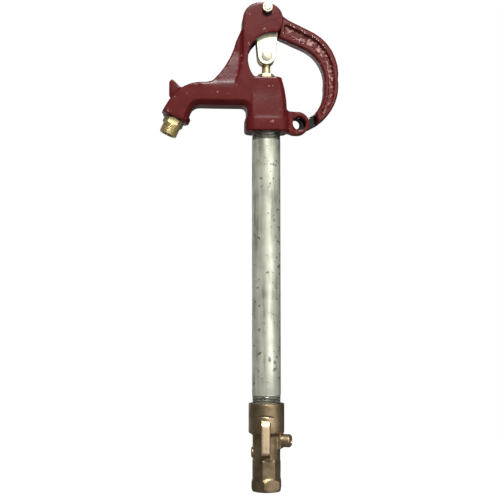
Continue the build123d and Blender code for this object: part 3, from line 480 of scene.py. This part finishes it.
def cast_bronze():
    """Brown bronze, with painted shade in its hollows, wear and painted highlights on its edges, and a
    painted highlight on the front of its bar.
    """
    material, tree, shader, place = new_material("cast_bronze")
    finer = {"Vector": place, "Lump Scale": 260.0, "Grain Scale": 1100.0}
    grain = place_group(tree, cast_grain, (-900, 0), finer)
    edges = find_edges(tree, place, low=0.2, high=0.8, unevenness=0.7)
    brown = ramp(tree, grain["Blotch"], BRONZE_TONES, (-500, 300))
    # painted shade: the bronze is darkened in its hollows
    shaded = mix_colour(tree, edges["Hollow"], brown, BRONZE_SHADE_IN_HOLLOWS, (-150, 300))
    # wear and painted highlight: the bronze is brighter on its edges
    edge_wear_and_highlight = times(tree, edges["Edge"], 0.8, (-400, -200))
    bright = mix_colour(tree, edge_wear_and_highlight, shaded, BRONZE_WEAR_AND_HIGHLIGHT_ON_EDGES, (100, 300))
    # painted highlight: the front of the bar is painted bright
    front_highlight = remap(tree, part_of(tree, place, "Y", (-700, 600)), *BRONZE_FRONT_HIGHLIGHT_FROM_Y, at=(-500, 600))
    colour = mix_colour(tree, front_highlight, bright, BRONZE_FRONT_HIGHLIGHT, (300, 300))
    gloss = remap(tree, grain["Blotch"], 0.3, 0.7, 0.5, 0.36, (100, 0))
    height = grain["Height"]
    finish_surface(tree, shader, colour, gloss, height, distance=0.16 * MM, strength=0.8, metallic=0.95)
    return material


def plain_material(name, find_pattern, tones, gloss_range, distance, strength, metallic=0.0):
    """Material whose colour, roughness and relief all come from one pattern."""
    material, tree, shader, place = new_material(name)
    pattern = find_pattern(tree, place)
    colour = ramp(tree, pattern, tones, (-500, 200))
    gloss = remap(tree, pattern, *gloss_range)
    finish_surface(tree, shader, colour, gloss, pattern, distance, strength, metallic)
    return material


def drawn_lines(tree, place):
    stretched = stretched_upright(tree, place, 0.04)
    return clouds_of(tree, stretched, scale=600.0, detail=3.0, at=(-900, 0))


def rubber_grain(tree, place):
    return clouds_of(tree, place, scale=500.0, detail=4.0, at=(-900, 0))


def braid(tree, place):
    waves = {"Vector": place, "Scale": 260.0, "Distortion": 2.0}
    return add(tree, "ShaderNodeTexWave", (-900, 0), waves).outputs["Fac"]


# Meshes
def link_object(name, mesh):
    made = bpy.data.objects.new(name, mesh)
    bpy.context.scene.collection.objects.link(made)
    return made


def point_places(mesh):
    place = np.empty(len(mesh.vertices) * 3)
    mesh.vertices.foreach_get("co", place)
    return place.reshape(-1, 3)


def point_normals(mesh):
    normal = np.empty(len(mesh.vertices) * 3, np.float32)
    mesh.vertex_normals.foreach_get("vector", normal)
    return normal.reshape(-1, 3)


def store_value(mesh, name, values):
    mesh.attributes.new(name, "FLOAT", "POINT").data.foreach_set("value", values)


def merged_triangles(node):
    """Points and triangles of a CAD node's mesh, with doubled points merged."""
    bm = bmesh.new()
    bm.from_mesh(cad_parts[node].data)
    bmesh.ops.remove_doubles(bm, verts=bm.verts, dist=DOUBLED_POINTS)
    bmesh.ops.triangulate(bm, faces=bm.faces)
    points = np.array([v.co[:] for v in bm.verts], np.float32)
    triangles = np.array([[v.index for v in f.verts] for f in bm.faces], np.uint32)
    bm.free()
    return points, triangles


def moved_skin(points, triangles, quads, voxel, distance, adaptivity=0.0):
    """The closed surface grown by this distance, or shrunk where it is negative."""
    scale = openvdb.createLinearTransform(voxelSize=voxel)
    reach = abs(distance) / voxel + GRID_MARGIN
    faces = {kind: found for kind, found in (("triangles", triangles), ("quads", quads)) if len(found)}
    grid = openvdb.FloatGrid.createLevelSetFromPolygons(points, transform=scale, halfWidth=reach, **faces)
    return grid.convertToPolygons(isovalue=distance, adaptivity=adaptivity)


def store_curve(mesh):
    """Stores how convex each point is, from about -1 in a hollow to 1 on an edge."""
    smoothing_passes = 2
    place = point_places(mesh)
    normal = point_normals(mesh).astype(float)
    ends = np.empty(len(mesh.edges) * 2, np.int32)
    mesh.edges.foreach_get("vertices", ends)
    first, second = ends.reshape(-1, 2).T
    length = np.linalg.norm(place[second] - place[first], axis=1) + 1e-12
    turn = ((normal[second] - normal[first]) * (place[second] - place[first])).sum(axis=1) / length**2
    total = np.zeros(len(place))
    weight = np.zeros(len(place))
    for ends_here in (first, second):
        np.add.at(total, ends_here, turn)
        np.add.at(weight, ends_here, 1.0)
    curve = total / np.maximum(weight, 1.0)
    for _ in range(smoothing_passes):
        spread = curve.copy()
        np.add.at(spread, first, curve[second])
        np.add.at(spread, second, curve[first])
        curve = spread / (weight + 1.0)
    store_value(mesh, "curve", np.clip(curve * MM, -1.5, 1.5).astype(np.float32))


def rounded_copy(node, name, rounding, adaptivity=0.01):
    """Copy of a CAD node with its inner corners filled and its edges rounded."""
    voxel, hollow, edge = rounding
    points, triangles = merged_triangles(node)
    quads = []
    if hollow:
        points, triangles, quads = moved_skin(points, triangles, quads, voxel, hollow)
    points, triangles, quads = moved_skin(points, triangles, quads, voxel, -(hollow + edge))
    points, triangles, quads = moved_skin(points, triangles, quads, voxel, edge, adaptivity)
    mesh = bpy.data.meshes.new(name)
    faces = [tuple(int(i) for i in reversed(face)) for kind in (triangles, quads) for face in kind]
    mesh.from_pydata([tuple(float(c) for c in p) for p in points], [], faces)
    mesh.validate()
    mesh.shade_smooth()
    store_curve(mesh)
    return link_object(name, mesh)


def ripple(piece, size, depth):
    """Uneven skin of a casting, as gentle lumps of this size and depth."""
    for vertex, outward in zip(piece.data.vertices, point_normals(piece.data)):
        broad = noise.noise(vertex.co / size)
        fine = noise.noise(vertex.co / (FINE_WAVE_SIZE * size))
        vertex.co += Vector(outward.tolist()) * ((broad + FINE_WAVE_SHARE * fine - WAVE_BIAS) * depth)


def portion(value, none, full):
    """Where a value lies from none to full, as 0 to 1."""
    return min(1.0, max(0.0, (value - none) / (full - none)))


def deepen_channel(piece):
    """Carries the channel in either side of the lever down to its lower end."""
    mesh = piece.data
    place = point_places(mesh)
    flat = place[:, (0, 2)]
    nearest = np.full(len(place), np.inf)
    for start, end in zip(CHANNEL_PATH[:-1], CHANNEL_PATH[1:]):
        span = end - start
        along = np.clip((flat - start) @ span / (span @ span), 0.0, 1.0)
        nearest = np.minimum(nearest, np.linalg.norm(flat - start - along[:, None] * span, axis=1))
    sunk = np.clip((CHANNEL_OUTER - nearest) / (CHANNEL_OUTER - CHANNEL_INNER), 0.0, 1.0)
    sunk = sunk * sunk * (3.0 - 2.0 * sunk)
    height = np.abs(place[:, 1])
    lowered = height - np.maximum(height - CHANNEL_FLOOR, 0.0) * sunk
    place[:, 1] = np.sign(place[:, 1]) * lowered
    mesh.vertices.foreach_set("co", place.ravel())
    mesh.update()


def mark_lever(piece):
    """Marks the lever's tab, where shade is painted near black, and the rough floor of its channels, where
    glints are painted.
    """
    none_rough, full_rough = (CHANNEL_FLOOR + above for above in ROUGH_ABOVE_FLOOR)
    tab_shade = []
    rough = []
    for vertex in piece.data.vertices:
        place = vertex.co / MM
        tab = portion(place.x, *TAB_FROM_X) * portion(place.z, *TAB_FROM_Z)
        floor = portion(abs(vertex.co.y), none_rough, full_rough)
        tab_shade.append(tab)
        rough.append(floor * portion(place.x, *ARM_FROM_X) * (1.0 - tab))
    store_value(piece.data, "tab_shade", tab_shade)
    store_value(piece.data, "rough", rough)


def dress(piece, material, body, node):
    """Gives a piece its material and body, in place of a CAD node."""
    piece.data.materials.clear()
    piece.data.materials.append(material)
    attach(piece, body)
    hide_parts(node)


def finish_node(node, material):
    """Gives a CAD node its material, with its shape as it is."""
    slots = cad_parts[node].data.materials
    slots.clear()
    slots.append(material)


# Threads
THREAD_SOCKETS = [
    ("Origin", "NodeSocketVector", None),
    ("Axis", "NodeSocketVector", (0.0, 0.0, 1.0)),
    ("Side", "NodeSocketVector", (1.0, 0.0, 0.0)),
    ("Pitch", "NodeSocketFloat", 2.0 * MM),
    ("Low", "NodeSocketFloat", 0.0),
    ("High", "NodeSocketFloat", 10.0 * MM),
    ("Run In", "NodeSocketFloat", 1.0 * MM),
    ("Run Out", "NodeSocketFloat", 1.0 * MM),
]


def make_thread_form():
    """How deep a helical groove is at each point, with the direction and distance from its axis."""
    group, given, gives = new_group(
        "thread_form",
        THREAD_SOCKETS,
        [("Groove", "NodeSocketFloat"), ("Outward", "NodeSocketVector"), ("Reach", "NodeSocketFloat")],
        "GeometryNodeTree",
    )
    place = add(group, "GeometryNodeInputPosition", (-1300, 200)).outputs["Position"]
    arm = vector_maths(group, "SUBTRACT", place, given["Origin"], (-1100, 200))
    along = vector_maths(group, "DOT_PRODUCT", arm, given["Axis"], (-900, 200))
    core = scaled(group, given["Axis"], along, (-700, 300))
    spoke = vector_maths(group, "SUBTRACT", arm, core, (-500, 200))
    third = vector_maths(group, "CROSS_PRODUCT", given["Axis"], given["Side"], (-900, -200))
    across = vector_maths(group, "DOT_PRODUCT", spoke, given["Side"], (-300, 0))
    upward = vector_maths(group, "DOT_PRODUCT", spoke, third, (-300, -200))
    angle = maths(group, "ARCTAN2", upward, across, (-100, -100))
    turned = maths(group, "DIVIDE", angle, 2 * math.pi, (50, -100))
    pitches = maths(group, "DIVIDE", along, given["Pitch"], (-100, 100))
    wave = maths(group, "PINGPONG", maths(group, "SUBTRACT", pitches, turned, (200, 0)), 0.5, (350, 0))
    flank_shade = remap(group, wave, THREAD_CREST, THREAD_ROOT, at=(500, 0))
    low_end = plus(group, given["Low"], given["Run In"], (200, -300))
    high_end = maths(group, "SUBTRACT", given["High"], given["Run Out"], (200, -500))
    rises = remap(group, along, given["Low"], low_end, at=(400, -300))
    falls = remap(group, along, high_end, given["High"], 1.0, 0.0, (400, -500))
    inside = times(group, rises, falls, (600, -400))
    group.links.new(times(group, flank_shade, inside, (750, -200)), gives["Groove"])
    group.links.new(vector_maths(group, "NORMALIZE", spoke, at=(0, 300)), gives["Outward"])
    group.links.new(vector_maths(group, "LENGTH", spoke, at=(0, 450)), gives["Reach"])
    return group


def make_cut_thread(form):
    """Cuts a helical groove into the outer skin of a mesh that is finer than the groove."""
    own_sockets = [
        ("Radius", "NodeSocketFloat", 10.0 * MM),
        ("Depth", "NodeSocketFloat", 1.0 * MM),
        ("Material", "NodeSocketMaterial", None),
    ]
    tree, given, gives = new_group(
        "cut_thread",
        [("Geometry", "NodeSocketGeometry", None)] + THREAD_SOCKETS + own_sockets,
        [("Geometry", "NodeSocketGeometry")],
        "GeometryNodeTree",
    )
    shape_inputs = {label: given[label] for label, _, _ in THREAD_SOCKETS}
    shape = add(tree, "GeometryNodeGroup", (-600, -200), shape_inputs, node_tree=form).outputs
    skin = maths(tree, "SUBTRACT", given["Radius"], THREAD_SKIN, (-600, -500))
    outer = maths(tree, "GREATER_THAN", shape["Reach"], skin, (-350, -400))
    groove = times(tree, shape["Groove"], outer, (-200, -300))
    inward = times(tree, times(tree, groove, given["Depth"], (0, -300)), -1.0, (150, -300))
    push = scaled(tree, shape["Outward"], inward, (300, -200))
    earlier = add(tree, "GeometryNodeInputNamedAttribute", (-350, 0), {"Name": "groove"}, data_type="FLOAT")
    deepest = maths(tree, "MAXIMUM", groove, earlier.outputs["Attribute"])
    marked = add(
        tree,
        "GeometryNodeStoreNamedAttribute",
        (100, 100),
        {"Geometry": given["Geometry"], "Name": "groove", "Value": deepest},
        data_type="FLOAT",
        domain="POINT",
    )
    moves = {"Geometry": marked.outputs["Geometry"], "Offset": push}
    cut = add(tree, "GeometryNodeSetPosition", (450, 100), moves)
    real = add(tree, "GeometryNodeRealizeInstances", (600, 100), {"Geometry": cut.outputs["Geometry"]})
    coat = {"Geometry": real.outputs["Geometry"], "Material": given["Material"]}
    dressed = add(tree, "GeometryNodeSetMaterial", (750, 100), coat)
    tree.links.new(dressed.outputs["Geometry"], gives["Geometry"])
    return tree


def bake(piece, tree, values):
    """Runs a geometry tree on a piece with these named inputs, and keeps the result as its mesh."""
    modifier = piece.modifiers.new(tree.name, "NODES")
    modifier.node_group = tree
    for item in tree.interface.items_tree:
        if item.item_type == "SOCKET" and item.in_out == "INPUT" and item.name in values:
            modifier[item.identifier] = values[item.name]
    depsgraph = bpy.context.evaluated_depsgraph_get()
    evaluated = piece.evaluated_get(depsgraph)
    mesh = bpy.data.meshes.new_from_object(evaluated, preserve_all_data_layers=True, depsgraph=depsgraph)
    piece.modifiers.clear()
    old = piece.data
    mesh.name = piece.name
    piece.data = mesh
    bpy.data.meshes.remove(old)


def lathe(name, profile, sides):
    """Closed surface turned about the upright axis from a closed outline of (radius, height) points."""
    turns = [2 * math.pi * i / sides for i in range(sides)]
    points = []
    for radius, height in profile:
        points += [(radius * math.cos(turn), radius * math.sin(turn), height) for turn in turns]
    faces = []
    for ring in range(len(profile)):
        here = ring * sides
        above = (ring + 1) % len(profile) * sides
        for i in range(sides):
            along = (i + 1) % sides
            faces.append((here + i, here + along, above + along, above + i))
    mesh = bpy.data.meshes.new(name)
    mesh.from_pydata(points, [], faces)
    mesh.validate()
    return link_object(name, mesh)


def threaded_pipe(cutter, material):
    """Standpipe with a thread cut at either end."""
    levels = [v.co.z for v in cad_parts["standpipe"].data.vertices]
    foot, top = min(levels), max(levels)
    bore = PIPE_RADIUS - PIPE_WALL
    steps = int(PIPE_THREAD_LENGTH / (PIPE_THREAD_PITCH / RINGS_PER_PITCH))
    span = top - foot - 2 * PIPE_THREAD_LENGTH
    heights = [foot + PIPE_THREAD_LENGTH * i / steps for i in range(steps + 1)]
    heights += [foot + PIPE_THREAD_LENGTH + span * i / PLAIN_RINGS for i in range(1, PLAIN_RINGS)]
    heights += [top - PIPE_THREAD_LENGTH * (1 - i / steps) for i in range(steps + 1)]
    profile = [(PIPE_RADIUS - PIPE_BEVEL, foot)]
    profile += [(PIPE_RADIUS, height) for height in heights[BEVEL_RINGS:-BEVEL_RINGS]]
    profile += [(PIPE_RADIUS - PIPE_BEVEL, top), (bore, top), (bore, foot)]
    pipe = lathe("threaded_standpipe", profile, PIPE_SIDES)
    for low, high, run_in, run_out in (
        (foot - PIPE_THREAD_OVERRUN, foot + PIPE_THREAD_LENGTH, PIPE_THREAD_START, PIPE_THREAD_FADE),
        (top - PIPE_THREAD_LENGTH, top + PIPE_THREAD_OVERRUN, PIPE_THREAD_FADE, PIPE_THREAD_START),
    ):
        bake(
            pipe,
            cutter,
            {
                "Pitch": PIPE_THREAD_PITCH,
                "Low": low,
                "High": high,
                "Run In": run_in,
                "Run Out": run_out,
                "Radius": PIPE_RADIUS,
                "Depth": PIPE_THREAD_DEPTH,
                "Material": material,
            },
        )
    pipe.data.shade_smooth()
    pipe.data.set_sharp_from_angle(angle=math.radians(40))
    return pipe


def cut_hose_thread(nozzle, cutter, material):
    bake(
        nozzle,
        cutter,
        {
            "Origin": OUTLET_PLACE,
            "Axis": (-math.sin(OUTLET_LEAN), 0.0, -math.cos(OUTLET_LEAN)),
            "Side": (math.cos(OUTLET_LEAN), 0.0, -math.sin(OUTLET_LEAN)),
            "Pitch": HOSE_THREAD_PITCH,
            "Low": HOSE_THREAD_START,
            "High": HOSE_THREAD_END,
            "Run In": HOSE_THREAD_RUN_IN,
            "Run Out": HOSE_THREAD_RUN_OUT,
            "Radius": HOSE_THREAD_RADIUS,
            "Depth": HOSE_THREAD_DEPTH,
            "Material": material,
        },
    )


# Studio
def make_camera():
    data = bpy.data.cameras.new("camera")
    data.sensor_fit = "HORIZONTAL"
    data.sensor_width = 36.0
    data.lens = data.sensor_width * CAMERA_FOCAL_PIXELS / PHOTO_WIDTH
    data.clip_start = 0.05
    data.clip_end = 50.0
    camera = link_object("camera", data)
    level = math.cos(CAMERA_PITCH)
    right = math.sin(CAMERA_HEADING) * level
    ahead = math.cos(CAMERA_HEADING) * level
    looks = Vector((right, ahead, math.sin(CAMERA_PITCH)))
    camera.location = CAMERA_PLACE
    camera.rotation_euler = looks.to_track_quat("-Z", "Y").to_euler()
    bpy.context.scene.camera = camera


def make_studio():
    """White backdrop to the camera, and a dim room with a soft screen to what it lights and mirrors."""
    scene = bpy.context.scene
    scene.view_settings.view_transform = "Standard"
    world = bpy.data.worlds.new("studio")
    world.use_nodes = True
    scene.world = world
    tree = world.node_tree
    tree.nodes.clear()
    ray = add(tree, "ShaderNodeLightPath", (-900, 300)).outputs
    toward = add(tree, "ShaderNodeTexCoord", (-900, -200)).outputs["Generated"]
    across = vector_maths(tree, "DOT_PRODUCT", toward, SCREEN_DIRECTION, (-700, -200))
    place = remap(tree, across, -1.0, 1.0, at=(-550, -200))
    screen = ramp(tree, place, [(stop, (light,) * 3) for stop, light in SCREEN_STOPS], (-400, -100))
    seen = maths(tree, "MAXIMUM", ray["Is Camera Ray"], ray["Is Transmission Ray"], (-300, 300))
    room = glow_of(tree, "ShaderNodeBackground", ROOM_TINT, ROOM_LIGHT, (0, -300))
    gloss = glow_of(tree, "ShaderNodeBackground", screen, 1.0, (0, -100))
    white = glow_of(tree, "ShaderNodeBackground", WHITE, 1.0, (0, 100))
    lit = mix_shaders(tree, ray["Is Glossy Ray"], room, gloss, (250, -200))
    both = mix_shaders(tree, seen, lit, white, (450, 0))
    add(tree, "ShaderNodeOutputWorld", (650, 0), {"Surface": both})


def make_key_light():
    data = bpy.data.lights.new("key_light", "AREA")
    data.shape = "RECTANGLE"
    data.size, data.size_y = KEY_LIGHT_SIZE
    data.energy = KEY_LIGHT_POWER
    lamp = link_object("key_light", data)
    lamp.location = KEY_LIGHT_PLACE
    looks = Vector(KEY_LIGHT_TARGET) - Vector(KEY_LIGHT_PLACE)
    lamp.rotation_euler = looks.to_track_quat("-Z", "Y").to_euler()


def make_floor():
    """Round white floor that melts into the backdrop at its rim."""
    turns = [2 * math.pi * i / FLOOR_SIDES for i in range(FLOOR_SIDES)]
    rim = [(FLOOR_RADIUS * math.cos(turn), FLOOR_RADIUS * math.sin(turn), FLOOR_LEVEL) for turn in turns]
    mesh = bpy.data.meshes.new("floor")
    mesh.from_pydata(rim, [], [tuple(range(FLOOR_SIDES))])
    floor = link_object("floor", mesh)
    material = bpy.data.materials.new("floor_white")
    material.use_nodes = True
    tree = material.node_tree
    tree.nodes.clear()
    ray = add(tree, "ShaderNodeLightPath", (-900, 300)).outputs
    place = add(tree, "ShaderNodeTexCoord", (-900, -200)).outputs["Object"]
    reach = vector_maths(tree, "LENGTH", place, at=(-700, -200))
    low, high = (share * FLOOR_RADIUS for share in FLOOR_MELTS)
    melted = remap(tree, reach, low, high, at=(-450, -200))
    grey = mix_colour(tree, ray["Is Glossy Ray"], FLOOR_GREY, FLOOR_GREY_IN_REFLECTIONS, (-450, 50))
    plain = add(tree, "ShaderNodeBsdfDiffuse", (-200, 0), {"Color": grey}).outputs[0]
    glow = glow_of(tree, "ShaderNodeEmission", WHITE, FLOOR_GLOW, (-200, -150))
    white = glow_of(tree, "ShaderNodeEmission", WHITE, 1.0, (-200, -300))
    lit = add(tree, "ShaderNodeAddShader", (0, -50), {0: plain, 1: glow}).outputs[0]
    seen = mix_shaders(tree, melted, lit, white, (200, -100))
    both = mix_shaders(tree, ray["Is Camera Ray"], plain, seen, (400, 0))
    add(tree, "ShaderNodeOutputMaterial", (600, 0), {"Surface": both})
    mesh.materials.append(material)


make_camera()
make_studio()
make_floor()
make_key_light()

cast_grain = make_cast_grain()
edge_mask = make_edge_mask()
head_enamel = maroon_enamel("head_enamel", coat=0.12, coat_roughness=0.16)
lever_enamel = maroon_enamel("lever_enamel", coat=0.6, coat_roughness=0.08)
galvanised = galvanised_steel()
zinc = zinc_plate()
bronze = cast_bronze()
brass = turned_brass()
steel = plain_material(
    "drawn_steel",
    drawn_lines,
    STEEL_TONES,
    gloss_range=(0.3, 0.7, 0.3, 0.42),
    distance=0.04 * MM,
    strength=0.5,
    metallic=0.9,
)
rubber = plain_material(
    "moulded_rubber",
    rubber_grain,
    RUBBER_TONES,
    gloss_range=(0.3, 0.7, 0.55, 0.7),
    distance=0.05 * MM,
    strength=0.6,
)
packing = plain_material(
    "braided_packing",
    braid,
    PACKING_TONES,
    gloss_range=(0.0, 1.0, 0.6, 0.45),
    distance=0.2 * MM,
    strength=0.6,
)

# Castings with softened corners
head = rounded_copy("head_casting", "head_shell", HEAD_ROUNDING)
ripple(head, size=11 * MM, depth=0.16 * MM)
dress(head, head_enamel, "root", "head_casting")

handle = rounded_copy("lever_handle", "lever_arm", LEVER_ROUNDING)
ripple(handle, size=9 * MM, depth=0.14 * MM)
deepen_channel(handle)
mark_lever(handle)
dress(handle, lever_enamel, "lever", "lever_handle")

foot = rounded_copy("valve_body", "foot_valve_shell", FOOT_ROUNDING)
ripple(foot, size=7 * MM, depth=0.08 * MM)
dress(foot, bronze, "root", "valve_body")

# Small pieces with eased edges
for node, name, material, body, slot in (
    ("link_front", "front_link_plate", zinc, "link", "zinc_steel"),
    ("link_rear", "rear_link_plate", zinc, "link", "zinc_steel"),
    ("link_rivet", "link_rivet_dome", zinc, "link", "zinc_steel"),
    ("crank_pin", "crank_pin_heads", zinc, "lever", "zinc_steel"),
    ("pivot_bolt", "pivot_bolt_eased", zinc, "root", "zinc_steel"),
    ("pivot_nut", "pivot_nut_eased", zinc, "root", "zinc_steel"),
    ("packing_nut", "packing_nut_eased", brass, "root", "brass"),
    ("upper_rod", "stem_turned", brass, "rod", "brass"),
):
    dress(rounded_copy(node, name, SMALL_ROUNDING), material, body, node)

# Threaded pieces
cutter = make_cut_thread(make_thread_form())
pipe = threaded_pipe(cutter, galvanised)
dress(pipe, galvanised, "root", "standpipe")

nozzle = rounded_copy("hose_nozzle", "hose_nozzle_turned", SMALL_ROUNDING, adaptivity=0.0)
cut_hose_thread(nozzle, cutter, brass)
dress(nozzle, brass, "root", "hose_nozzle")

# CAD nodes whose shape is right as it is
for material, nodes in (
    (zinc, ("pivot_sleeve",)),
    (bronze, ("valve_seat", "plunger_body")),
    (brass, ("packing_washer", "seal_washer", "seal_screw")),
    (steel, ("operating_rod", "rod_coupling", "jam_nut")),
    (rubber, ("plunger_seal", "plunger_rings")),
    (packing, ("packing_rings",)),
):
    for node in nodes:
        finish_node(node, material)
